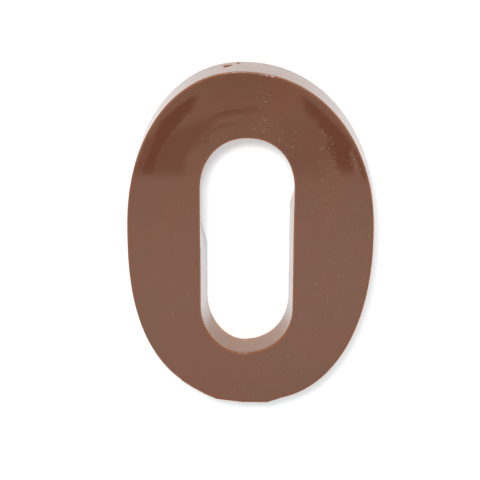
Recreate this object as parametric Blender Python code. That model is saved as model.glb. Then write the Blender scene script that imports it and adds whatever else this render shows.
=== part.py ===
"""Solid milk chocolate digit 0, cast in a mould. It lies on its back with the moulded face up.

The digit's top points to +Y and its face to +Z. The origin is under the middle of its outline, on the
surface that it lies on. The face outlines are given in millimetres from the middle of the face.
"""

from typing import NamedTuple

import bmesh
import bpy
import numpy as np

MM = 0.001

THICKNESS = 15.0
EDGE_ROUND = 0.3
OUTER_DRAFT = 0.35

FACE_HEIGHT = 110.4
FACE_WIDTH = 79.2

# The outer round's extreme points, and how square each quarter between them is: top right, top left, bottom
# left and bottom right. 2 is an ellipse, and more is squarer.
OUTER_TOP = (-2.7, FACE_HEIGHT / 2)
OUTER_RIGHT = (FACE_WIDTH / 2, 4.0)
OUTER_LEFT = (-FACE_WIDTH / 2, 3.9)
OUTER_BOTTOM = (2.9, -54.3)
OUTER_POWERS = (2.1, 2.12, 2.55, 2.21)

# The pad that the digit could stand on, below the round, from left to right.
PAD_LEFT = ((-22.5, -47.8), (-18.6, -50.4), (-14.6, -52.6), (-11.0, -54.2))
PAD_RIGHT = ((-2.5, -FACE_HEIGHT / 2), (5.5, -FACE_HEIGHT / 2), (10.0, -53.7))
FOOT = PAD_LEFT + PAD_RIGHT

# The hole's straight sides end where its rounds start. Its bottom lies to the left of its top, and its right
# side leans in towards the bottom.
HOLE_HEIGHT = 71.7
HOLE_WIDTH = 30.2
HOLE_MIDDLE = (-1.0, -2.2)
HOLE_TOP_ROUND = 16.7
HOLE_BOTTOM_ROUND = 15.7
HOLE_BOTTOM_SHIFT = -1.5
HOLE_LEAN = 0.35
HOLE_POWERS = (2.18, 2.09, 1.98, 2.14)

# At the back the hole is narrower than at the face by a lip on each side. The levels say where the lip
# starts, coming down, and where it has its full depth. Above it the left wall flares out instead.
LIP_LEFT = 1.65
LIP_LEFT_LEVELS = (5.0, -6.0)
LIP_RIGHT = 1.55
LIP_RIGHT_LEVELS = (15.0, 8.0)
LIP_FADE_POWER = 1.5
FLARE_LEFT = 0.7

RING_POINTS = 208
EDGE_STEPS = 3
FINE = 400
SHARP_ANGLE = np.radians(35)

MILK_CHOCOLATE = (0.17, 0.068, 0.038, 1.0)
CHOCOLATE_ROUGHNESS = 0.32


class Outline(NamedTuple):
    """A closed curve of four quarters, each a superellipse, with straight runs between them at the sides."""

    top: tuple
    bottom: tuple
    right: tuple  # upper and lower end of the straight run
    left: tuple
    powers: tuple


def outer_outline():
    return Outline(
        top=OUTER_TOP,
        bottom=OUTER_BOTTOM,
        right=(OUTER_RIGHT, OUTER_RIGHT),
        left=(OUTER_LEFT, OUTER_LEFT),
        powers=OUTER_POWERS,
    )


def hole_outline():
    x, y = HOLE_MIDDLE
    right, left = x + HOLE_WIDTH / 2, x - HOLE_WIDTH / 2
    top, bottom = y + HOLE_HEIGHT / 2, y - HOLE_HEIGHT / 2
    upper, lower = top - HOLE_TOP_ROUND, bottom + HOLE_BOTTOM_ROUND
    return Outline(
        top=(x, top),
        bottom=(x + HOLE_BOTTOM_SHIFT, bottom),
        right=((right, upper), (right - HOLE_LEAN, lower)),
        left=((left, upper), (left, lower)),
        powers=HOLE_POWERS,
    )


def quarter(side, apex, power):
    """Points from a side point to an apex."""
    turn = np.linspace(0, np.pi / 2, FINE)
    across = np.cos(turn) ** (2 / power)
    along = np.sin(turn) ** (2 / power)
    return np.column_stack([apex[0] + (side[0] - apex[0]) * across, side[1] + (apex[1] - side[1]) * along])


def evenly(points, count):
    """The polyline resampled at equal steps, without its last point."""
    length = np.concatenate([[0], np.cumsum(np.linalg.norm(np.diff(points, axis=0), axis=1))])
    steps = np.linspace(0, length[-1], count, endpoint=False)
    return np.column_stack([np.interp(steps, length, points[:, axis]) for axis in (0, 1)])


def with_foot(points):
    """Pushes the bottom of an outline down to the pad."""
    x, y = points.T
    pad = np.interp(x, *zip(*FOOT), left=np.inf, right=np.inf)
    return np.column_stack([x, np.where(y < 0, np.minimum(y, pad), y)])


def ring(outline, shape=None):
    """The outline's points, counterclockwise from the middle of its right side, even in each quarter."""
    right_middle = np.mean(outline.right, axis=0)
    left_middle = np.mean(outline.left, axis=0)
    quarters = (
        np.vstack([right_middle, quarter(outline.right[0], outline.top, outline.powers[0])]),
        np.vstack([quarter(outline.left[0], outline.top, outline.powers[1])[::-1], left_middle]),
        np.vstack([left_middle, quarter(outline.left[1], outline.bottom, outline.powers[2])]),
        np.vstack([quarter(outline.right[1], outline.bottom, outline.powers[3])[::-1], right_middle]),
    )
    if shape:
        quarters = [shape(points) for points in quarters]
    return np.vstack([evenly(points, RING_POINTS // 4) for points in quarters])


def outward(points):
    """Unit normals of a counterclockwise ring."""
    along = np.roll(points, -1, axis=0) - np.roll(points, 1, axis=0)
    along /= np.linalg.norm(along, axis=1, keepdims=True)
    return np.column_stack([along[:, 1], -along[:, 0]])


def fade(value, levels):
    """0 at the first level, 1 at the second, with a smooth run between them."""
    run = np.clip((value - levels[0]) / (levels[1] - levels[0]), 0, 1)
    return run * run * (3 - 2 * run)


def hole_back_inset(points, normals):
    """How far the hole's wall stands in at the back, at each point of the face's ring."""
    y = points[:, 1]
    left = -FLARE_LEFT + (FLARE_LEFT + LIP_LEFT) * fade(y, LIP_LEFT_LEVELS)
    right = LIP_RIGHT * fade(y, LIP_RIGHT_LEVELS)
    facing_side = np.abs(normals[:, 0]) ** LIP_FADE_POWER
    return np.where(normals[:, 0] < 0, left, right) * facing_side


def sections():
    """The rings of the skin: up the outer wall, over its edge, across the face and down inside the hole."""
    outer = ring(outer_outline(), with_foot)
    hole = ring(hole_outline())
    outer_normals, hole_normals = outward(outer), outward(hole)
    back_inset = hole_back_inset(hole, hole_normals)
    outer_back = outer + outer_normals * OUTER_DRAFT
    hole_back = hole - hole_normals * back_inset[:, None]
    middle = (outer_back.min(axis=0) + outer_back.max(axis=0)) / 2
    outer_rings, hole_rings = [(outer_back, 0.0)], [(hole_back, 0.0)]
    for turn in np.linspace(0, np.pi / 2, EDGE_STEPS + 1):
        height = THICKNESS - EDGE_ROUND * (1 - np.sin(turn))
        share = height / THICKNESS
        inset = EDGE_ROUND * (1 - np.cos(turn))
        outer_rings.append((outer_back + (outer - outer_back) * share - outer_normals * inset, height))
        hole_rings.append((hole_back + (hole - hole_back) * share + hole_normals * inset, height))
    rings = outer_rings + hole_rings[::-1]
    return [np.column_stack([flat - middle, np.full(len(flat), height)]) * MM for flat, height in rings]


def loft(name, rings):
    """A closed skin: each ring is joined to the next, and the last to the first."""
    build = bmesh.new()
    rows = [[build.verts.new(point) for point in points] for points in rings]
    for row, following in zip(rows, rows[1:] + rows[:1]):
        for i, vertex in enumerate(row):
            j = (i + 1) % len(row)
            build.faces.new((vertex, row[j], following[j], following[i]))
    bmesh.ops.recalc_face_normals(build, faces=build.faces)
    mesh = bpy.data.meshes.new(name)
    build.to_mesh(mesh)
    build.free()
    mesh.shade_smooth()
    mesh.set_sharp_from_angle(angle=SHARP_ANGLE)
    return bpy.data.objects.new(name, mesh)


def milk_chocolate():
    material = bpy.data.materials.new("milk_chocolate")
    material.use_nodes = True
    shader = material.node_tree.nodes["Principled BSDF"]
    shader.inputs["Base Color"].default_value = MILK_CHOCOLATE
    shader.inputs["Roughness"].default_value = CHOCOLATE_ROUGHNESS
    shader.inputs["Metallic"].default_value = 0.0
    return material


for leftover in list(bpy.data.objects):
    bpy.data.objects.remove(leftover)

digit = loft("chocolate_zero", sections())
digit.data.materials.append(milk_chocolate())
collection = bpy.data.collections.new("chocolate_number")
bpy.context.scene.collection.children.link(collection)
collection.objects.link(digit)
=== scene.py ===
"""Looks of the milk chocolate digit 0: the casting with its mould marks, the grains on its face, the flash
left on its wall, and the white table and soft lights that it is shown under.

Sizes are in millimetres until a mesh is made in metres. The outlines start from the middle of the face, and
all other places from the middle of the whole digit, on the table.
"""

from functools import reduce
from typing import NamedTuple

import bmesh
import bpy
import numpy as np
from mathutils import Matrix, Vector


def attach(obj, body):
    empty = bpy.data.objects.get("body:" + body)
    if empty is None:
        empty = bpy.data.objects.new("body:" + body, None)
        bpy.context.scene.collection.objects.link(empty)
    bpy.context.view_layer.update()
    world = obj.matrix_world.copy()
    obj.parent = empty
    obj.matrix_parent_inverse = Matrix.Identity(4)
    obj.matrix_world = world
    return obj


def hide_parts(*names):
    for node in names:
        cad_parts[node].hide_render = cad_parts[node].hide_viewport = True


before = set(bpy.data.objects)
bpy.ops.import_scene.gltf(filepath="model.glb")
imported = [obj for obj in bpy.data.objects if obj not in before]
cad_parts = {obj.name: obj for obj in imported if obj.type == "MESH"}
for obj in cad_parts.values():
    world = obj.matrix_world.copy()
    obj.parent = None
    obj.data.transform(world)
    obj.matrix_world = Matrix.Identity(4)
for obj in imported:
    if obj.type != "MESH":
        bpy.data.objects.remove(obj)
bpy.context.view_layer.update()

# The casting
# One solid piece of milk chocolate, poured into a polished open mould and scraped level. The face and the
# walls have the mould's gloss with a thin bloom, and the back is the dull scraped side that it lies on.

MM = 0.001

THICKNESS = 15.0
OUTER_DRAFT = 0.35
FACE_HEIGHT = 110.4
FACE_WIDTH = 79.2

# The outer round's extreme points, and how square each quarter between them is: top right, top left, bottom
# left and bottom right. 2 is an ellipse, and more is squarer.
OUTER_TOP = (-2.7, FACE_HEIGHT / 2)
OUTER_RIGHT = (FACE_WIDTH / 2, 4.0)
OUTER_LEFT = (-FACE_WIDTH / 2, 3.9)
OUTER_BOTTOM = (2.9, -54.3)
OUTER_POWERS = (2.1, 2.12, 2.55, 2.21)

# The pad that the digit could stand on, below the round, from left to right.
PAD_LEFT = ((-22.5, -47.8), (-18.6, -50.4), (-14.6, -52.6), (-11.0, -54.2))
PAD_RIGHT = ((-2.5, -FACE_HEIGHT / 2), (5.5, -FACE_HEIGHT / 2), (10.0, -53.7))
FOOT = PAD_LEFT + PAD_RIGHT

# The hole's straight sides end where its rounds start. Its bottom lies to the left of its top, and its right
# side leans in towards the bottom.
HOLE_HEIGHT = 71.7
HOLE_WIDTH = 30.2
HOLE_MIDDLE = (-1.0, -2.2)
HOLE_TOP_ROUND = 16.7
HOLE_BOTTOM_ROUND = 15.7
HOLE_BOTTOM_SHIFT = -1.5
HOLE_LEAN = 0.35
HOLE_POWERS = (2.18, 2.09, 1.98, 2.14)

# At the back the hole is narrower than at the face by a lip on each side, and wider at the upper left.
LIP_LEFT = 1.65
LIP_LEFT_LEVELS = (5.0, -6.0)
LIP_RIGHT = 1.55
LIP_RIGHT_LEVELS = (15.0, 8.0)
LIP_FADE_POWER = 1.5
FLARE_LEFT = 0.7

# The face lies a little under the full thickness, which leaves room for the grains on it.
GRAIN_ROOM = 0.07
FACE_ROUND = 0.25
BACK_ROUND = 0.15
AROUND = 704
FACE_ROWS = 56
WALL_ROWS = 14
BACK_ROWS = 38
ROUND_STEPS = 4
FINE = 400


class Outline(NamedTuple):
    """A closed curve of four quarters, each a superellipse, with straight runs between them at the sides."""

    top: tuple
    bottom: tuple
    right: tuple
    left: tuple
    powers: tuple


def outer_outline():
    return Outline(
        top=OUTER_TOP,
        bottom=OUTER_BOTTOM,
        right=(OUTER_RIGHT, OUTER_RIGHT),
        left=(OUTER_LEFT, OUTER_LEFT),
        powers=OUTER_POWERS,
    )


def hole_outline():
    x, y = HOLE_MIDDLE
    right, left = x + HOLE_WIDTH / 2, x - HOLE_WIDTH / 2
    top, bottom = y + HOLE_HEIGHT / 2, y - HOLE_HEIGHT / 2
    upper, lower = top - HOLE_TOP_ROUND, bottom + HOLE_BOTTOM_ROUND
    return Outline(
        top=(x, top),
        bottom=(x + HOLE_BOTTOM_SHIFT, bottom),
        right=((right, upper), (right - HOLE_LEAN, lower)),
        left=((left, upper), (left, lower)),
        powers=HOLE_POWERS,
    )


def quarter(side, apex, power):
    """Points from a side point to an apex."""
    turn = np.linspace(0, np.pi / 2, FINE)
    across = np.cos(turn) ** (2 / power)
    along = np.sin(turn) ** (2 / power)
    return np.column_stack([apex[0] + (side[0] - apex[0]) * across, side[1] + (apex[1] - side[1]) * along])


def evenly(points, count):
    """The polyline resampled at equal steps, without its last point."""
    length = np.concatenate([[0], np.cumsum(np.linalg.norm(np.diff(points, axis=0), axis=1))])
    steps = np.linspace(0, length[-1], count, endpoint=False)
    return np.column_stack([np.interp(steps, length, points[:, axis]) for axis in (0, 1)])


def with_foot(points):
    """Pushes the bottom of an outline down to the pad."""
    x, y = points.T
    pad = np.interp(x, *zip(*FOOT), left=np.inf, right=np.inf)
    return np.column_stack([x, np.where(y < 0, np.minimum(y, pad), y)])


def ring(outline, shape=None):
    """The outline's points, counterclockwise from the middle of its right side, even in each quarter."""
    right_middle = np.mean(outline.right, axis=0)
    left_middle = np.mean(outline.left, axis=0)
    quarters = (
        np.vstack([right_middle, quarter(outline.right[0], outline.top, outline.powers[0])]),
        np.vstack([quarter(outline.left[0], outline.top, outline.powers[1])[::-1], left_middle]),
        np.vstack([left_middle, quarter(outline.left[1], outline.bottom, outline.powers[2])]),
        np.vstack([quarter(outline.right[1], outline.bottom, outline.powers[3])[::-1], right_middle]),
    )
    if shape:
        quarters = [shape(points) for points in quarters]
    return np.vstack([evenly(points, AROUND // 4) for points in quarters])


def outward(points):
    """Unit normals of a counterclockwise ring."""
    along = np.roll(points, -1, axis=0) - np.roll(points, 1, axis=0)
    along /= np.linalg.norm(along, axis=1, keepdims=True)
    return np.column_stack([along[:, 1], -along[:, 0]])


def fade(value, levels):
    """0 at the first level, 1 at the second, with a smooth run between them."""
    run = np.clip((value - levels[0]) / (levels[1] - levels[0]), 0, 1)
    return run * run * (3 - 2 * run)


def hole_back_inset(points, normals):
    """How far the hole's wall stands in at the back, at each point of the face's ring."""
    y = points[:, 1]
    left = -FLARE_LEFT + (FLARE_LEFT + LIP_LEFT) * fade(y, LIP_LEFT_LEVELS)
    right = LIP_RIGHT * fade(y, LIP_RIGHT_LEVELS)
    facing_side = np.abs(normals[:, 0]) ** LIP_FADE_POWER
    return np.where(normals[:, 0] < 0, left, right) * facing_side


def wall_profile():
    """Height and inset of each row up a wall, with the small rounds at the back's and the face's edge."""
    face_level = THICKNESS - GRAIN_ROOM
    turns = np.linspace(0, np.pi / 2, ROUND_STEPS)
    back = [(BACK_ROUND * (1 - np.sin(turn)), BACK_ROUND * (1 - np.cos(turn))) for turn in turns[::-1]]
    face = [(face_level - FACE_ROUND * (1 - np.sin(turn)), FACE_ROUND * (1 - np.cos(turn))) for turn in turns]
    wall = [(height, 0.0) for height in np.linspace(back[-1][0], face[0][0], WALL_ROWS)[1:-1]]
    return back + wall + face


def row_shares(count):
    """Where the rows lie between two edges, closer together at the edges."""
    even = np.linspace(0, 1, count + 2)[1:-1]
    return (even + (1 - np.cos(np.pi * even)) / 2) / 2


def casting_rings():
    """The rings of the skin, the kind of each of their points, and the two edges of the face."""
    outer, hole = ring(outer_outline(), with_foot), ring(hole_outline())
    outer_in, hole_in = -outward(outer), outward(hole)
    outer_back = outer - outer_in * OUTER_DRAFT
    hole_back = hole - hole_in * hole_back_inset(hole, hole_in)[:, None]
    middle = (outer_back.min(axis=0) + outer_back.max(axis=0)) / 2

    def wall(face_ring, back_ring, inward):
        rings = []
        for height, inset in wall_profile():
            flat = back_ring + (face_ring - back_ring) * height / THICKNESS + inward * inset
            rings.append(np.column_stack([flat - middle, np.full(AROUND, height)]))
        return rings

    def across(start, end, count):
        return [start + (end - start) * share for share in row_shares(count)]

    outer_wall = wall(outer, outer_back, outer_in)
    hole_wall = wall(hole, hole_back, hole_in)[::-1]
    face = across(outer_wall[-1], hole_wall[0], FACE_ROWS)
    back = across(hole_wall[-1], outer_wall[0], BACK_ROWS)
    rings = outer_wall + face + hole_wall + back
    parts = {"wall": outer_wall, "face": face, "wall in the hole": hole_wall, "back": back}
    kinds = np.repeat(list(parts), [len(part) * AROUND for part in parts.values()])
    return rings, kinds, outer - middle, hole - middle


def distance_to(points, edge):
    """From each point to the nearest point of an edge, in the plane of the face."""
    return np.concatenate([
        np.linalg.norm(part[:, None, :2] - edge[None], axis=2).min(axis=1)
        for part in np.array_split(points, len(points) // AROUND)
    ])


def closed_skin(name, rings):
    """Each ring is joined to the next, and the last to the first."""
    rows = len(rings)
    start = np.arange(rows)[:, None] * AROUND
    following = np.roll(start, -1, axis=0)
    here = np.arange(AROUND)
    there = np.roll(here, -1)
    faces = np.stack([start + here, start + there, following + there, following + here], axis=2)
    mesh = bpy.data.meshes.new(name)
    mesh.from_pydata(np.vstack(rings) * MM, [], faces.reshape(-1, 4).tolist())
    mesh.shade_smooth()
    return mesh


def add_attribute(mesh, name, values):
    mesh.attributes.new(name, "FLOAT", "POINT").data.foreach_set("value", values.astype(np.float32))


# Chips knocked off the face's edge: x, y, reach, depth and how pale the broken chocolate in them is. In the
# last two, at the hole's lower edge, the pale colour also paints a glint of light.
CHIPS = (
    (-35.9, 26.9, 0.9, 0.25, 0.0),
    (-37.9, 21.4, 0.8, 0.25, 0.0),
    (-16.1, -52.3, 0.8, 0.2, 0.4),
    (3.2, 54.8, 1.1, 0.12, 0.3),
    (4.9, 54.6, 1.1, 0.15, 0.5),
    (6.6, 54.2, 0.9, 0.15, 0.7),
    (13.8, -10.8, 0.8, 0.3, 0.3),
    (38.6, -9.0, 0.6, 0.2, 0.3),
    (-3.4, -37.95, 0.9, 0.08, 0.4),
    (-1.6, -38.0, 1.1, 0.12, 0.5),
)


def chipped(points):
    """How deep the chips press each point in, and how pale it is."""
    depth, pale = np.zeros(len(points)), np.zeros(len(points))
    for x, y, reach, deepest, paleness in CHIPS:
        away = np.linalg.norm(points - (x, y, THICKNESS - GRAIN_ROOM), axis=1)
        near = np.clip(1 - (away / reach) ** 2, 0, 1) ** 2
        depth, pale = np.maximum(depth, near * deepest), np.maximum(pale, near * paleness)
    return depth, pale


# The patches of the face without bloom, where the chocolate came away clean from the mould. They follow the
# outer edge: height on the face, and how far from the edge they start and end there.
LEFT_PATCH = (
    (24.0, 2.3, 7.1),
    (28.5, 2.8, 6.2),
    (33.5, 2.5, 7.0),
    (38.5, 1.9, 7.1),
    (43.2, 2.8, 6.7),
    (46.9, 3.4, 5.2),
    (50.0, 3.6, 4.2),
)
RIGHT_PATCH = (
    (24.0, 3.7, 7.9),
    (29.0, 2.9, 8.3),
    (31.5, 1.2, 7.9),
    (33.8, 1.4, 6.2),
    (38.0, 2.1, 6.5),
    (43.0, 2.5, 5.2),
    (47.0, 2.4, 3.6),
    (50.0, 2.3, 2.7),
)

# Small clean spots in the half clean area on the left: x, y, half their length and width, and their turn.
CLEAN_SPOTS = (
    (-20.5, 31.2, 1.5, 0.6, 0.15),
    (-13.9, 32.7, 1.4, 0.5, 0.45),
    (-12.7, 39.0, 1.3, 0.6, 0.5),
    (-22.4, 28.5, 1.2, 0.9, 1.0),
    (-17.0, 35.5, 1.8, 0.6, 0.7),
)


def patch_room(points, from_edge, patch):
    """How far each point is inside a patch, on the side of the outer edge and on the other side."""
    height, start, end = np.array(patch).T
    y = points[:, 1]
    return from_edge - np.interp(y, height, start), np.interp(y, height, end) - from_edge


def spotted(points):
    """1 in the middle of a clean spot, 0 outside."""
    spots = np.zeros(len(points))
    for x, y, length, width, turn in CLEAN_SPOTS:
        off_x, off_y = points[:, 0] - x, points[:, 1] - y
        along = (off_x * np.cos(turn) + off_y * np.sin(turn)) / length
        across = (off_y * np.cos(turn) - off_x * np.sin(turn)) / width
        spots = np.maximum(spots, np.clip(1 - along ** 2 - across ** 2, 0, 1))
    return spots


class Bench:
    """A node tree under construction."""

    def __init__(self, tree):
        self.tree = tree

    def object_place(self):
        """Where a point of the piece is, in millimetres."""
        return self.node("ShaderNodeTexCoord", {}, {}, "Object").scaled((1 / MM, 1 / MM, 1 / MM))

    def mix(self, share, first, second):
        """A colour between two colours."""
        sockets = {"Factor": share, "A": first, "B": second}
        return self.node("ShaderNodeMix", {"data_type": "RGBA"}, sockets)

    def node(self, kind, settings=None, sockets=None, output=None):
        """Adds a node. Its sockets are named as Blender names them, and get values, outputs or objects."""
        made = self.tree.nodes.new(kind)
        for key, value in (settings or {}).items():
            setattr(made, key, value)
        for key, value in (sockets or {}).items():
            enabled = [socket for socket in made.inputs if socket.enabled]
            socket = enabled[key] if isinstance(key, int) else next(s for s in enabled if s.name == key)
            if isinstance(value, Output):
                self.tree.links.new(value.socket, socket)
            else:
                socket.default_value = (*value, 1.0) if socket.type == "RGBA" else value
        outputs = [socket for socket in made.outputs if socket.enabled]
        if not outputs:
            return made
        return Output(self, next((s for s in outputs if s.name == output), outputs[0]))


class Output:
    """A node's output. Sums and products of it add Math nodes to its tree."""

    def __init__(self, bench, socket):
        self.bench = bench
        self.socket = socket

    def math(self, operation, first, second):
        return self.bench.node("ShaderNodeMath", {"operation": operation}, {0: first, 1: second})

    def __add__(self, other):
        return self.math("ADD", self, other)

    def __radd__(self, other):
        return self.math("ADD", other, self)

    def __sub__(self, other):
        return self.math("SUBTRACT", self, other)

    def __rsub__(self, other):
        return self.math("SUBTRACT", other, self)

    def __mul__(self, other):
        return self.math("MULTIPLY", self, other)

    def __rmul__(self, other):
        return self.math("MULTIPLY", other, self)

    def __truediv__(self, other):
        return self.math("DIVIDE", self, other)

    def __rtruediv__(self, other):
        return self.math("DIVIDE", other, self)

    def most(self, other):
        return self.math("MAXIMUM", self, other)

    def off(self, value):
        """How far it is from a value, to either side."""
        return self.bench.node("ShaderNodeMath", {"operation": "ABSOLUTE"}, {0: self - value})

    def fade(self, start, end):
        """0 at the start, 1 at the end, with a smooth run between them; the end may be the lower one."""
        if start > end:
            return 1 - self.fade(end, start)
        sockets = {"Value": self, "From Min": start, "From Max": end}
        return self.bench.node("ShaderNodeMapRange", {"interpolation_type": "SMOOTHSTEP"}, sockets)

    def within(self, fades):
        """1 where every one of some fades has run from its start to its end."""
        return reduce(Output.__mul__, [self.fade(start, end) for start, end in fades])

    def spread(self, least, added):
        """The least value, with the added amount where this output is 1."""
        return least + added * self

    def part(self, axis):
        """A vector's X, Y or Z."""
        return self.bench.node("ShaderNodeSeparateXYZ", {}, {"Vector": self}, axis)

    def scaled(self, by):
        """A vector, stretched by a factor along each axis."""
        return self.bench.node("ShaderNodeVectorMath", {"operation": "MULTIPLY"}, {0: self, 1: by})

    def noise(self, scale, detail=2.0, roughness=0.5, distortion=0.0):
        """Smooth chance values about 0.5, at places given in millimetres."""
        sockets = {"Vector": self, "Scale": scale, "Detail": detail, "Roughness": roughness,
                   "Distortion": distortion}
        return self.bench.node("ShaderNodeTexNoise", {}, sockets)


class Relief(NamedTuple):
    """What the mould and the scraper leave in the chocolate's skin, in millimetres."""

    wave: float = 0.010
    wave_length: float = 24.0
    wall_wave: float = 0.06
    wall_wave_length: float = 9.0
    streak: float = 0.03
    streak_width: float = 1.1
    scrape: float = 0.10
    scrape_width: float = 1.4
    bubble: float = 0.45
    bubble_spacing: float = 5.5
    bubble_radius: float = 0.9


# Streaks run up the walls and scrapes run across the back: each pattern is stretched along one axis.
STREAK_STRETCH = (1, 1, 0.08)
SCRAPE_STRETCH = (0.06, 1, 1)
BUBBLE_CHANCE = (0.45, 1.0)
LEAST_BUBBLE = 0.001


def mesh_attribute(bench, name):
    """A number kept at a mesh's points, read in a Geometry Nodes tree."""
    return bench.node("GeometryNodeInputNamedAttribute", {"data_type": "FLOAT"}, {"Name": name}, "Attribute")


def geometry_tree(name, inputs):
    """A Geometry Nodes tree that takes a mesh and the named inputs, and gives a mesh."""
    tree = bpy.data.node_groups.new(name, "GeometryNodeTree")
    tree.interface.new_socket("Geometry", in_out="OUTPUT", socket_type="NodeSocketGeometry")
    tree.interface.new_socket("Geometry", in_out="INPUT", socket_type="NodeSocketGeometry")
    for label, kind in inputs.items():
        tree.interface.new_socket(label, in_out="INPUT", socket_type=kind)
    bench = Bench(tree)
    entry = tree.nodes.new("NodeGroupInput")
    return bench, {socket.name: Output(bench, socket) for socket in entry.outputs if socket.name}


def close_tree(bench, geometry, material):
    """Ends a tree: instances made real, one material."""
    real = bench.node("GeometryNodeRealizeInstances", {}, {"Geometry": geometry})
    done = bench.node("GeometryNodeSetMaterial", {}, {"Geometry": real, "Material": material})
    bench.node("NodeGroupOutput", {}, {"Geometry": done})
    return bench.tree


def relief_tree(material):
    """Presses the relief into the skin. Nothing rises above the skin that it is given."""
    inputs = {label: "NodeSocketFloat" for label in Relief._fields}
    bench, given = geometry_tree("casting_relief", inputs)
    place = bench.node("GeometryNodeInputPosition").scaled((1 / MM, 1 / MM, 1 / MM))
    wall, back = mesh_attribute(bench, "wall"), mesh_attribute(bench, "back")
    waves = given["wave"] * (1 - wall - back) * place.noise(1 / given["wave_length"], 1.0)
    wall_waves = given["wall_wave"] * place.noise(1 / given["wall_wave_length"], 1.0)
    streaks = given["streak"] * place.scaled(STREAK_STRETCH).noise(1 / given["streak_width"], 1.0)
    scrapes = given["scrape"] * place.scaled(SCRAPE_STRETCH).noise(1 / given["scrape_width"])
    cells = {"Vector": place.scaled((1, 1, 0)), "Scale": 1 / given["bubble_spacing"], "Randomness": 1.0}
    to_bubble = bench.node("ShaderNodeTexVoronoi", {}, cells, "Distance") * given["bubble_spacing"]
    chance = bench.node("ShaderNodeTexVoronoi", {}, cells, "Color").part("X")
    radius = given["bubble_radius"] * chance.fade(*BUBBLE_CHANCE) + LEAST_BUBBLE
    bubbles = given["bubble"] * (1 - to_bubble / radius).most(0.0).fade(0.0, 1.0)
    depth = waves + wall * (wall_waves + streaks) + back * (scrapes + bubbles)
    inward = {"Vector": bench.node("GeometryNodeInputNormal"), "Scale": depth * -MM}
    offset = bench.node("ShaderNodeVectorMath", {"operation": "SCALE"}, inward)
    moved = bench.node("GeometryNodeSetPosition", {}, {"Geometry": given["Geometry"], "Offset": offset})
    return close_tree(bench, moved, material)


def grown(piece, tree, values):
    """The piece's mesh after a Geometry Nodes tree with the given input values, as a plain mesh."""
    modifier = piece.modifiers.new(tree.name, "NODES")
    modifier.node_group = tree
    for item in tree.interface.items_tree:
        if item.in_out == "INPUT" and item.name in values:
            modifier[item.identifier] = values[item.name]
    ready = piece.evaluated_get(bpy.context.evaluated_depsgraph_get())
    mesh = bpy.data.meshes.new_from_object(ready)
    piece.modifiers.remove(modifier)
    return mesh


# The chocolate's colours, and how rough each of its surfaces is.
DEEP_CHOCOLATE = (0.152, 0.052, 0.030)
BLOOMED_CHOCOLATE = (0.190, 0.063, 0.026)
GREYER_CHOCOLATE = (0.173, 0.065, 0.029)
WALL_CHOCOLATE = (0.31, 0.118, 0.034)
# Painted light: the orange of the edge line stands for light scattered through the thin edge.
EDGE_SCATTER_GLOW = (0.31, 0.095, 0.026)
# Painted light: the bright orange of the thin back edge stands for light shining through it.
BACK_EDGE_GLOW = (0.66, 0.32, 0.15)
SCRAPED_CHOCOLATE = (0.190, 0.085, 0.055)
# The pale of broken chocolate, which at the hole's lower edge also paints a glint of light.
CHIP_PALE_AND_GLINT = (0.50, 0.34, 0.26)
BLOOM_ROUGHNESS = 0.30
CLEAR_ROUGHNESS = 0.05
WALL_ROUGHNESS = 0.10
BACK_ROUGHNESS = 0.55
RIM_ROUGHNESS = 0.55
CHOCOLATE_IOR = 1.52
FILM_ROUGHNESS = 0.1

# How glossy a film the mould left: on the outer wall, and in the hole on its left, right and lower wall. In
# the hole it changes by a factor from the back to the face. The levels say how far sideways a wall has to
# face to count as the left or the right one.
OUTER_FILM = 0.48
LEFT_FILM = 0.84
RIGHT_FILM = 0.40
LOWER_FILM = 0.02
FILM_AT_BACK = 1.12
FILM_AT_FACE = 0.80
SIDE_LEVELS = (0.85, 0.98)
SCATTER_SHARE = 0.12
SCATTER_REACH = (1.0, 0.45, 0.25)

# How far the painted orange line reaches from the face's edges; its colour paints light scattering through
# the thin edge. At the hole's back edge, at the lower left, the chocolate is thin, and the light shining
# through it is painted into the colour as bright orange: how far that reaches up the wall, and between which
# places.
RIM_FADE = (0.80, 0.15)
BACK_RIM_FADE = (1.7, 0.5)
BACK_RIM_LEVELS = (-12.0, -22.0)
BACK_RIM_SIDE = (8.0, -3.0)


class PatchEdges(NamedTuple):
    """How a clean patch fades out on each of its sides, and how ragged it is there."""

    outer: tuple
    outer_ragged: float
    inner: tuple
    inner_ragged: float
    lower: tuple
    lower_ragged: float
    upper: tuple


LEFT_EDGES = PatchEdges(
    outer=(-1.0, 0.9),
    outer_ragged=0.4,
    inner=(-1.4, 1.2),
    inner_ragged=1.0,
    lower=(19.6, 24.0),
    lower_ragged=0.0,
    upper=(-15.0, -19.0),
)
RIGHT_EDGES = PatchEdges(
    outer=(-0.9, 0.9),
    outer_ragged=0.5,
    inner=(-2.2, 1.2),
    inner_ragged=1.6,
    lower=(20.6, 25.0),
    lower_ragged=1.2,
    upper=(14.5, 18.0),
)


class HalfCleanArea(NamedTuple):
    """The half clean area between the left patch and the hole: how it fades out on each side."""

    hole_side: tuple = (4.0, 7.5)
    right_side: tuple = (-9.0, -15.0)
    lower_side: tuple = (19.3, 24.0)
    upper_side: tuple = (48.5, 42.5)
    upper_slope: float = 0.35
    patch_side: tuple = (-3.2, -0.4)
    hole_wander: float = 3.0
    upper_wander: float = 4.0
    clean: float = 0.62


class Area(NamedTuple):
    """A soft-edged area of the face: its fades across and up the face, and how clean it is."""

    across: tuple
    up: tuple
    clean: float


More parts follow.
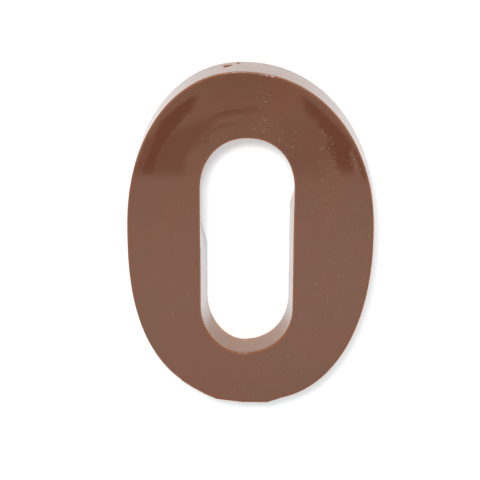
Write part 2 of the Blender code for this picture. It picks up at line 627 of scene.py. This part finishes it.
# At the top's middle the fades across are in squares of the distance from the middle line. The strip at the
# right patch's foot also fades by its distance from the outer edge.
BESIDE_HOLE = Area(across=((5.0, 13.0), (31.0, 20.0)), up=((17.0, 27.0), (48.0, 32.0)), clean=0.3)
TOP_MIDDLE = Area(across=((420.0, 20.0),), up=((36.0, 54.0),), clean=0.2)
EDGE_STRIP = Area(across=((24.0, 30.0),), up=((19.0, 22.5), (32.0, 29.0)), clean=0.75)
EDGE_STRIP_REACH = ((0.4, 0.9), (2.6, 1.4))


class Arc(NamedTuple):
    """A clean line around the hole's upper end: how far from the hole it runs, its width and its end."""

    from_hole: float
    wander: float
    half_width: tuple
    end: tuple
    clean: float


ARCS = (
    Arc(from_hole=9.3, wander=2.0, half_width=(2.8, 0.3), end=(9.0, -4.0), clean=0.6),
    Arc(from_hole=5.6, wander=1.5, half_width=(1.6, 0.2), end=(-1.0, -9.0), clean=0.45),
)
ARCS_FOOT = (26.0, 34.0)
WISP_STRETCH = 0.10
WISP_SCALE = 0.7
WISP_LEVELS = (0.30, 0.55)

# Faint clouds in the bloom of the upper half: their scale, levels, foot and how clean they are.
CLOUD_SCALE = 0.35
CLOUD_LEVELS = (0.45, 0.75)
CLOUD_FOOT = (10.0, 30.0)
CLOUD_CLEAN = 0.16

# The other patterns of chance: how many of their waves go to a millimetre.
MOTTLE_SCALE = 0.9
DRIFT_SCALE = 0.16
RAGGED_SCALE = 0.6
BLOTCH_SCALE = 0.05
RIGHT_SCALE = 0.5
WALL_STREAKS = (0.10, 0.10, 1.1)
BLOTCH_LEVELS = (0.35, 0.65)

# How much the ragged edges wander, widely and finely, and what the streaks change in the walls.
RAGGED_DRIFT = 2.0
RAGGED_FINE = 1.4
STREAK_DEPTH = 0.7
STREAK_ROUGHNESS = 0.2

# Where a pattern breaks something up: its least share, and how much the pattern adds.
BLOOM_SHARE = (0.45, 0.9)
EDGE_GLOW_SHARE = (0.6, 0.4)
BACK_GLOW_SHARE = (0.5, 0.5)
SPOT_SHARE = (0.6, 0.5)
RIGHT_SHARE = (0.8, 0.3)


def new_bench(name):
    """A material without nodes but its output, and the bench that its tree grows on."""
    material = bpy.data.materials.new(name)
    material.use_nodes = True
    for node in list(material.node_tree.nodes):
        if node.type != "OUTPUT_MATERIAL":
            material.node_tree.nodes.remove(node)
    return material, Bench(material.node_tree)


def surface(material, shader):
    material.node_tree.links.new(shader.socket, material.node_tree.nodes["Material Output"].inputs["Surface"])


def shader_attribute(bench, name):
    """A number kept at a mesh's points, read in a material."""
    return bench.node("ShaderNodeAttribute", {"attribute_name": name}, {}, "Fac")


def patch_share(bench, side, edges, place, ragged):
    """How clean one of the two patches is at each point."""
    outer = shader_attribute(bench, side + "_out") + ragged * edges.outer_ragged
    inner = shader_attribute(bench, side + "_in") - ragged * edges.inner_ragged
    lower = place.part("Y") + ragged * edges.lower_ragged
    along = lower.fade(*edges.lower) * place.part("X").fade(*edges.upper)
    return outer.fade(*edges.outer) * inner.fade(*edges.inner) * along


def half_clean_share(bench, area, place, drift, ragged):
    """How clean the area between the left patch and the hole is at each point."""
    x, y = place.part("X"), place.part("Y")
    hole_side = (shader_attribute(bench, "from_hole") + drift * area.hole_wander).fade(*area.hole_side)
    upper_side = (y - x * area.upper_slope + drift * area.upper_wander).fade(*area.upper_side)
    patch_side = shader_attribute(bench, "left_out").fade(*area.patch_side)
    sides = hole_side * patch_side * (x + ragged).fade(*area.right_side)
    return sides * upper_side * y.fade(*area.lower_side) * area.clean


def arcs_share(bench, place, drift):
    """How clean the broken lines around the hole's upper end are at each point."""
    x, y, from_hole = place.part("X"), place.part("Y"), shader_attribute(bench, "from_hole")
    sockets = {"X": from_hole, "Y": x * WISP_STRETCH, "Z": y * WISP_STRETCH}
    wisps = bench.node("ShaderNodeCombineXYZ", {}, sockets).noise(WISP_SCALE, 2.0, 0.6).fade(*WISP_LEVELS)
    arcs = []
    for arc in ARCS:
        off = (from_hole + drift * arc.wander).off(arc.from_hole)
        arcs.append(off.fade(*arc.half_width) * x.fade(*arc.end) * arc.clean)
    return reduce(Output.most, arcs) * y.fade(*ARCS_FOOT) * wisps


def clean_share(bench, place, mottle):
    """How clean the face is: 1 where it left the mould without bloom, 0 where the bloom is full."""
    x, y, from_edge = place.part("X"), place.part("Y"), shader_attribute(bench, "from_edge")
    drift = place.noise(DRIFT_SCALE) - 0.5
    ragged = drift * RAGGED_DRIFT + (place.noise(RAGGED_SCALE) - 0.5) * RAGGED_FINE
    beside_hole = x.within(BESIDE_HOLE.across) * y.within(BESIDE_HOLE.up) * BESIDE_HOLE.clean
    top_middle = (x * x).within(TOP_MIDDLE.across) * y.within(TOP_MIDDLE.up) * TOP_MIDDLE.clean
    edge_strip = x.within(EDGE_STRIP.across) * y.within(EDGE_STRIP.up) * EDGE_STRIP.clean
    clouds = place.noise(CLOUD_SCALE, 3.0, 0.6).fade(*CLOUD_LEVELS) * y.fade(*CLOUD_FOOT) * CLOUD_CLEAN
    right_patch = patch_share(bench, "right", RIGHT_EDGES, place, ragged)
    return reduce(Output.most, [
        patch_share(bench, "left", LEFT_EDGES, place, ragged),
        right_patch * place.noise(RIGHT_SCALE, 3.0).spread(*RIGHT_SHARE),
        half_clean_share(bench, HalfCleanArea(), place, drift, ragged),
        arcs_share(bench, place, drift),
        edge_strip * from_edge.within(EDGE_STRIP_REACH),
        beside_hole,
        top_middle,
        clouds,
        shader_attribute(bench, "spots") * mottle.spread(*SPOT_SHARE),
    ])


def chocolate_colour(bench, place, mottle, streaks):
    """The bloomed face, the walls, the scraped back, the broken edges, and painted light: the orange glow
    scattered through the thin edges, and a glint in the pale chips at the hole's lower edge.
    """
    blotches = place.noise(BLOTCH_SCALE, 3.0, 0.6, 1.0).fade(*BLOTCH_LEVELS)
    bloom = bench.mix(blotches, BLOOMED_CHOCOLATE, GREYER_CHOCOLATE)
    face = bench.mix(mottle.spread(*BLOOM_SHARE), DEEP_CHOCOLATE, bloom)
    wall_depth = shader_attribute(bench, "film") + (streaks - 0.5) * STREAK_DEPTH
    wall = bench.mix(wall_depth, WALL_CHOCOLATE, DEEP_CHOCOLATE)
    colour = bench.mix(shader_attribute(bench, "wall"), face, wall)
    colour = bench.mix(shader_attribute(bench, "back"), colour, SCRAPED_CHOCOLATE)
    # Painted light: the orange line along the face's edges stands for light scattered through the thin
    # chocolate.
    colour = bench.mix(shader_attribute(bench, "rim") * mottle.spread(*EDGE_GLOW_SHARE), colour, EDGE_SCATTER_GLOW)
    # Painted light: the bright orange at the hole's lower-left back edge stands for light shining through
    # thin chocolate.
    colour = bench.mix(shader_attribute(bench, "back_rim") * mottle.spread(*BACK_GLOW_SHARE), colour, BACK_EDGE_GLOW)
    # Pale broken chocolate in the chips; at the hole's lower edge the pale also paints a glint of light.
    return bench.mix(shader_attribute(bench, "pale"), colour, CHIP_PALE_AND_GLINT)


def chocolate_material():
    material, bench = new_bench("milk_chocolate")
    place = bench.object_place()
    mottle = place.noise(MOTTLE_SCALE, 3.0)
    streaks = place.scaled(WALL_STREAKS).noise(1.0, 3.0, 0.6)
    wall, back = shader_attribute(bench, "wall"), shader_attribute(bench, "back")
    rims = shader_attribute(bench, "rim") + shader_attribute(bench, "back_rim")
    face = 1 - wall - back
    side_roughness = wall * (WALL_ROUGHNESS + STREAK_ROUGHNESS * streaks) + back * BACK_ROUGHNESS
    constant = {
        "IOR": CHOCOLATE_IOR,
        "Subsurface Weight": SCATTER_SHARE,
        "Subsurface Radius": SCATTER_REACH,
        "Subsurface Scale": MM,
    }
    bloomed = bench.node("ShaderNodeBsdfPrincipled", {}, constant | {
        "Base Color": chocolate_colour(bench, place, mottle, streaks),
        "Roughness": face * BLOOM_ROUGHNESS + side_roughness + rims * RIM_ROUGHNESS,
        "Coat Weight": shader_attribute(bench, "film"),
        "Coat Roughness": FILM_ROUGHNESS,
    })
    clean = bench.node("ShaderNodeBsdfPrincipled", {}, constant | {
        "Base Color": DEEP_CHOCOLATE,
        "Roughness": CLEAR_ROUGHNESS,
    })
    share = clean_share(bench, place, mottle) * face
    surface(material, bench.node("ShaderNodeMixShader", {}, {0: share, 1: bloomed, 2: clean}))
    return material


rings, kinds, face_edge, hole_edge = casting_rings()
points = np.vstack(rings)
on_face, in_hole = kinds == "face", kinds == "wall in the hole"
on_wall = in_hole | (kinds == "wall")
chip_depth, pale = chipped(points)
pressed = points - np.outer(chip_depth, (0, 0, 1))
casting_mesh = closed_skin("chocolate_casting", np.split(pressed, len(rings)))
from_edge = distance_to(points, face_edge)
from_hole = distance_to(points, hole_edge)
to_rim = np.minimum(from_edge, from_hole) + np.abs(points[:, 2] - (THICKNESS - GRAIN_ROOM))
side = np.tile(outward(hole_edge)[:, 0], len(rings))
hole_film = LOWER_FILM + (LEFT_FILM - LOWER_FILM) * fade(-side, SIDE_LEVELS)
hole_film += (RIGHT_FILM - LOWER_FILM) * fade(side, SIDE_LEVELS)
hole_film = np.where(points[:, 1] > 0, np.maximum(hole_film, RIGHT_FILM), hole_film)
hole_film *= FILM_AT_BACK + (FILM_AT_FACE - FILM_AT_BACK) * points[:, 2] / THICKNESS
lower_left = fade(points[:, 1], BACK_RIM_LEVELS) * fade(points[:, 0], BACK_RIM_SIDE)
left_out, left_in = patch_room(points, from_edge, LEFT_PATCH)
right_out, right_in = patch_room(points, from_edge, RIGHT_PATCH)
for name, values in {
    "from_edge": from_edge,
    "from_hole": from_hole,
    "left_out": left_out,
    "left_in": left_in,
    "right_out": right_out,
    "right_in": right_in,
    "spots": spotted(points),
    "pale": pale,
    "rim": fade(to_rim, RIM_FADE),
    "back_rim": fade(points[:, 2], BACK_RIM_FADE) * in_hole * lower_left,
    "film": on_wall * np.where(in_hole, hole_film, OUTER_FILM),
    "wall": on_wall.astype(float),
    "back": (kinds == "back").astype(float),
}.items():
    add_attribute(casting_mesh, name, values)

chocolate = chocolate_material()
casting = bpy.data.objects.new("chocolate_casting", casting_mesh)
bpy.context.scene.collection.objects.link(casting)
casting.data = grown(casting, relief_tree(chocolate), Relief()._asdict())
casting.data.name = "chocolate_casting"
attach(casting, "root")
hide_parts("chocolate_zero")

# The grains on the face
# Tiny pale grains of sugar and cocoa butter that stuck to the mould's floor and stand out of the face, mostly
# on its right half. Most are strewn by chance, in clusters, and the finest ones have listed seats.

GRAIN_RADII = (0.09, 0.20)
GRAIN_HEIGHT = 0.05
GRAIN_STRETCH = (0.8, 1.3)
GRAIN_SEED = 7
GRAIN_FREE_EDGE = (0.3, 0.8)

# Clusters: x, y, reach and grains per square millimetre. The last ones are wide and thin.
CLUSTERS = (
    (4.0, 38.2, 2.8, 1.1),
    (10.8, 33.2, 2.8, 1.6),
    (4.0, 46.2, 2.8, 0.45),
    (22.5, 35.5, 3.5, 0.40),
    (27.5, 28.5, 4.0, 0.35),
    (33.5, 25.7, 2.2, 0.50),
    (35.0, 11.5, 2.8, 0.60),
    (37.0, 2.5, 2.4, 0.60),
    (5.0, -37.5, 4.5, 0.30),
    (2.2, -53.0, 1.6, 0.90),
    (-26.0, -5.0, 1.8, 0.35),
    (22.0, 12.0, 15.0, 0.10),
    (27.0, -16.0, 14.0, 0.09),
    (22.0, -42.0, 14.0, 0.05),
    (0.0, 0.0, 75.0, 0.006),
)

# The finest grains: x, y and height above the table. Those without a height sit on the face, and the last two
# are beside the hole's lower wall, where their pale colour paints two small glints of light.
SEATS = (
    (6.75, 53.6, None),
    (24.8, 29.3, None),
    (29.2, 28.2, None),
    (1.8, -39.3, None),
    (35.8, 11.7, None),
    (7.3, -38.8, None),
    (12.6, 43.8, None),
    (11.1, 34.1, None),
    (-14.5, 47.2, None),
    (4.8, 39.3, None),
    (14.6, 35.5, None),
    (37.5, 2.1, None),
    (-26.3, -5.1, None),
    (29.6, 20.2, None),
    (28.9, -20.8, None),
    (18.8, -11.9, None),
    # Painted highlight: these two pale grains stand for glints on the hole's lower wall.
    (-2.3, -37.80, 8.6),
    (-1.1, -37.75, 6.9),
)

# A smear of grains along the clean patch on the right and across it, as corner points.
SMEAR = ((21.2, 37.0), (23.6, 35.0), (25.6, 33.4), (27.2, 32.6), (29.5, 32.2))
SMEAR_STEPS = 36
SMEAR_SPREAD = 0.12
SEATED_RADIUS = 0.05


def grain_seats(name, level):
    """The seats of the finest grains and the smear, as a mesh of loose points."""
    x, y = np.array(SMEAR).T
    steps = np.linspace(x[0], x[-1], SMEAR_STEPS)
    spread = np.random.default_rng(GRAIN_SEED).normal(0, SMEAR_SPREAD, SMEAR_STEPS)
    smear = [(place, np.interp(place, x, y) + off, None) for place, off in zip(steps, spread)]
    seats = [(x, y, level if height is None else height) for x, y, height in (*SEATS, *smear)]
    mesh = bpy.data.meshes.new(name)
    mesh.from_pydata([(x * MM, y * MM, height * MM) for x, y, height in seats], [], [])
    return mesh


def grain_density(points):
    """Grains per square millimetre at each point of the face."""
    shares = [
        amount * np.exp(-((points[:, 0] - x) ** 2 + (points[:, 1] - y) ** 2) / reach ** 2)
        for x, y, reach, amount in CLUSTERS
    ]
    return np.sum(shares, axis=0) * fade(np.minimum(from_edge, from_hole), GRAIN_FREE_EDGE) * on_face


def grain_tree(material):
    """Sets a grain on each seat, and strews more over the ground by its own density."""
    inputs = {
        "Ground": "NodeSocketObject",
        "Least Radius": "NodeSocketFloat",
        "Most Radius": "NodeSocketFloat",
        "Seated Radius": "NodeSocketFloat",
        "Height": "NodeSocketFloat",
        "Seed": "NodeSocketInt",
    }
    bench, given = geometry_tree("strewn_grains", inputs)

    def chance(least, most, seed):
        sockets = {"Min": least, "Max": most, "Seed": given["Seed"] + seed}
        return bench.node("FunctionNodeRandomValue", {"data_type": "FLOAT"}, sockets)

    def grains(points, radius):
        size = {"X": radius * chance(*GRAIN_STRETCH, 2), "Y": radius, "Z": given["Height"]}
        sockets = {
            "Points": points,
            "Instance": bench.node("GeometryNodeMeshIcoSphere", {}, {"Radius": MM, "Subdivisions": 2}),
            "Rotation": bench.node("ShaderNodeCombineXYZ", {}, {"Z": chance(0.0, np.pi, 3)}),
            "Scale": bench.node("ShaderNodeCombineXYZ", {}, size),
        }
        return bench.node("GeometryNodeInstanceOnPoints", {}, sockets)

    ground = bench.node("GeometryNodeObjectInfo", {}, {"Object": given["Ground"]}, "Geometry")
    density = mesh_attribute(bench, "grains") * (1 / MM ** 2)
    sockets = {"Mesh": ground, "Density": density, "Seed": given["Seed"]}
    strewn = bench.node("GeometryNodeDistributePointsOnFaces", {}, sockets, "Points")
    seated = bench.node("GeometryNodeMeshToPoints", {}, {"Mesh": given["Geometry"]})
    join = bench.tree.nodes.new("GeometryNodeJoinGeometry")
    few = chance(0.0, 1.0, 1)
    radius = given["Least Radius"] + (given["Most Radius"] - given["Least Radius"]) * few * few
    for made in (grains(strewn, radius), grains(seated, given["Seated Radius"])):
        bench.tree.links.new(made.socket, join.inputs["Geometry"])
    joined = Output(bench, join.outputs["Geometry"])
    smooth = bench.node("GeometryNodeSetShadeSmooth", {}, {"Geometry": joined})
    return close_tree(bench, smooth, material)


class Blend(NamedTuple):
    """Two colours that change over into each other by chance, with their roughness."""

    first: tuple
    second: tuple
    roughness: float
    scale: float
    detail: float
    levels: tuple = (0.35, 0.65)


GRAIN_BLEND = Blend(
    first=(0.26, 0.13, 0.075),
    second=(0.42, 0.28, 0.19),
    roughness=0.35,
    scale=1.3,
    detail=2.0,
)


def blended_material(name, blend):
    material, bench = new_bench(name)
    share = bench.object_place().noise(blend.scale, blend.detail).fade(*blend.levels)
    surface(material, bench.node("ShaderNodeBsdfPrincipled", {}, {
        "Base Color": bench.mix(share, blend.first, blend.second),
        "Roughness": blend.roughness,
    }))
    return material


add_attribute(casting.data, "grains", grain_density(points))
grains = bpy.data.objects.new("face_grains", grain_seats("face_grains", THICKNESS - GRAIN_ROOM))
bpy.context.scene.collection.objects.link(grains)
values = {
    "Ground": casting,
    "Least Radius": GRAIN_RADII[0],
    "Most Radius": GRAIN_RADII[1],
    "Seated Radius": SEATED_RADIUS,
    "Height": GRAIN_HEIGHT,
    "Seed": GRAIN_SEED,
}
grains.data = grown(grains, grain_tree(blended_material("pale_grains", GRAIN_BLEND)), values)
grains.data.name = "face_grains"
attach(grains, "root")

# The flash on the wall
# Thin flakes of chocolate that squeezed out between the mould and the scraper. They stuck to the outer wall
# near its back edge, at the top. Their bright orange colour paints the light that shines through the thin
# chocolate.

FLASH_STEPS = (20, 12)
FLASH_LUMPS = 0.25
ABOVE_TABLE = 0.02
SAME_PLACE = 1e-4
# Painted light: the flakes' bright orange colours stand for light shining through them.
FLASH_BLEND = Blend(
    first=(0.46, 0.19, 0.085),
    second=(0.62, 0.29, 0.14),
    roughness=0.65,
    scale=1.1,
    detail=3.0,
)

# Each flake: its place on the edge, half its width and height, its middle's height and its thickness.
FLAKES = (
    ((-7.9, 55.0), 1.0, 0.85, 4.5, 0.2),
    ((-6.7, 55.2), 0.6, 0.5, 4.4, 0.08),
    ((-4.4, 55.5), 0.5, 1.0, 1.6, 0.03),
)


def flake_points(edge, place, half_width, half_height, middle, thickness, chance):
    """A lumpy flat flake, along the edge nearest to its place."""
    nearest = np.linalg.norm(edge - place, axis=1).argmin()
    foot, out = edge[nearest], outward(edge)[nearest]
    across = np.array([-out[1], out[0]])
    turns = np.linspace(0, 2 * np.pi, FLASH_STEPS[0], endpoint=False)
    tilts = np.linspace(-np.pi / 2, np.pi / 2, FLASH_STEPS[1])
    lumps = 1 + FLASH_LUMPS * (np.sin(2 * turns + chance) + np.sin(5 * turns + 3 * chance)) / 2
    points = []
    for tilt in tilts:
        width = half_width * np.cos(tilt) * lumps * np.cos(turns)
        height = middle + half_height * np.cos(tilt) * lumps * np.sin(turns)
        depth = thickness * np.sin(tilt)
        flat = foot + np.outer(width, across) + np.outer(np.full(len(turns), depth), out)
        points.append(np.column_stack([flat, np.maximum(height, ABOVE_TABLE)]))
    return points


def flash_mesh(name, edge):
    """All flakes in one mesh. Each is a ball of rings, flattened against the wall."""
    points, faces = [], []
    around, rows = FLASH_STEPS
    for number, sizes in enumerate(FLAKES):
        flake = flake_points(edge, *sizes, number)
        first = sum(len(part) for part in points)
        points += flake
        for row in range(rows - 1):
            for turn in range(around):
                a, b = first + row * around + turn, first + row * around + (turn + 1) % around
                faces.append((a, b, b + around, a + around))
    mesh = bpy.data.meshes.new(name)
    mesh.from_pydata(np.vstack(points) * MM, [], faces)
    work = bmesh.new()
    work.from_mesh(mesh)
    bmesh.ops.remove_doubles(work, verts=work.verts, dist=MM * SAME_PLACE)
    bmesh.ops.recalc_face_normals(work, faces=work.faces)
    work.to_mesh(mesh)
    work.free()
    mesh.shade_smooth()
    return mesh


flash = bpy.data.objects.new("wall_flash", flash_mesh("wall_flash", rings[ROUND_STEPS - 1][:, :2]))
flash.data.materials.append(blended_material("thin_flash", FLASH_BLEND))
bpy.context.scene.collection.objects.link(flash)
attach(flash, "root")

# The white table, the lights and the camera
# The digit lies on a white table, under a wide pale light from the upper left and a long card above its foot,
# which the face mirrors. The camera looks down on it, a little from its top end.

TABLE_SIZE = 6000.0
TABLE_WHITE = (0.88, 0.93, 0.95)
TABLE_ROUGHNESS = 0.9
AIM = (-3.30, 0.26, THICKNESS)
CAMERA_TILT = np.radians(16.0)
CAMERA_TURN = np.radians(1.55)
CAMERA_DISTANCE = 700.0
CAMERA_LENS = 163.5
SENSOR_WIDTH = 36.0
ROOM_LIGHT = 0.50
TABLE_GLOW = 0.35
CEILING_HEIGHTS = (0.80, 0.93)
CEILING_SHADE = 0.9


class SoftLight(NamedTuple):
    """A flat light: where it is, what it faces, its width and length, and its brightness."""

    place: tuple
    aim: tuple
    width: float
    length: float
    radiance: float


KEY = SoftLight(place=(-80, 450, 1040), aim=(0, 0, 0), width=290, length=170, radiance=46.0)
CARD = SoftLight(place=(15, -240, 700), aim=(15, -240, 0), width=520, length=156, radiance=2.35)


def white_table():
    half = TABLE_SIZE / 2 * MM
    corners = [(-half, -half, 0), (half, -half, 0), (half, half, 0), (-half, half, 0)]
    mesh = bpy.data.meshes.new("white_table")
    mesh.from_pydata(corners, [], [(0, 1, 2, 3)])
    table = bpy.data.objects.new("white_table", mesh)
    material = bpy.data.materials.new("white_table")
    material.use_nodes = True
    shader = material.node_tree.nodes["Principled BSDF"]
    shader.inputs["Base Color"].default_value = (*TABLE_WHITE, 1.0)
    shader.inputs["Roughness"].default_value = TABLE_ROUGHNESS
    shader.inputs["Specular IOR Level"].default_value = 0.0
    shader.inputs["Emission Color"].default_value = (1.0, 1.0, 1.0, 1.0)
    shader.inputs["Emission Strength"].default_value = TABLE_GLOW
    mesh.materials.append(material)
    bpy.context.scene.collection.objects.link(table)
    return table


def hang_light(name, kind):
    """Hangs a soft light, facing its aim. It doesn't show in the picture itself."""
    light = bpy.data.lights.new(name, "AREA")
    light.shape = "RECTANGLE"
    light.size, light.size_y = kind.width * MM, kind.length * MM
    light.energy = kind.radiance * np.pi * light.size * light.size_y
    lamp = bpy.data.objects.new(name, light)
    lamp.location = Vector(kind.place) * MM
    away = lamp.location - Vector(kind.aim) * MM
    lamp.rotation_euler = away.to_track_quat("Z", "Y").to_euler()
    lamp.visible_camera = False
    bpy.context.scene.collection.objects.link(lamp)


def photo_camera():
    back = Vector((
        np.sin(CAMERA_TURN),
        np.sin(CAMERA_TILT) * np.cos(CAMERA_TURN),
        np.cos(CAMERA_TILT) * np.cos(CAMERA_TURN),
    ))
    right = Vector((0, 1, 0)).cross(back).normalized()
    up = back.cross(right)
    data = bpy.data.cameras.new("camera")
    data.lens = CAMERA_LENS
    data.sensor_width = SENSOR_WIDTH
    camera = bpy.data.objects.new("camera", data)
    turned = Matrix((right, up, back)).transposed().to_4x4()
    camera.matrix_world = Matrix.Translation((Vector(AIM) + back * CAMERA_DISTANCE) * MM) @ turned
    bpy.context.scene.collection.objects.link(camera)
    return camera


white_table()
hang_light("key", KEY)
hang_light("card", CARD)
world = bpy.data.worlds.new("room")
world.use_nodes = True
room = Bench(world.node_tree)
ceiling = room.node("ShaderNodeTexCoord", {}, {}, "Generated").part("Z").fade(*CEILING_HEIGHTS)
background = world.node_tree.nodes["Background"]
world.node_tree.links.new((ROOM_LIGHT * (1 - ceiling * CEILING_SHADE)).socket, background.inputs["Strength"])
background.inputs["Color"].default_value = (1.0, 1.0, 1.0, 1.0)
bpy.context.scene.world = world
bpy.context.scene.view_settings.view_transform = "Standard"
bpy.context.scene.camera = photo_camera()
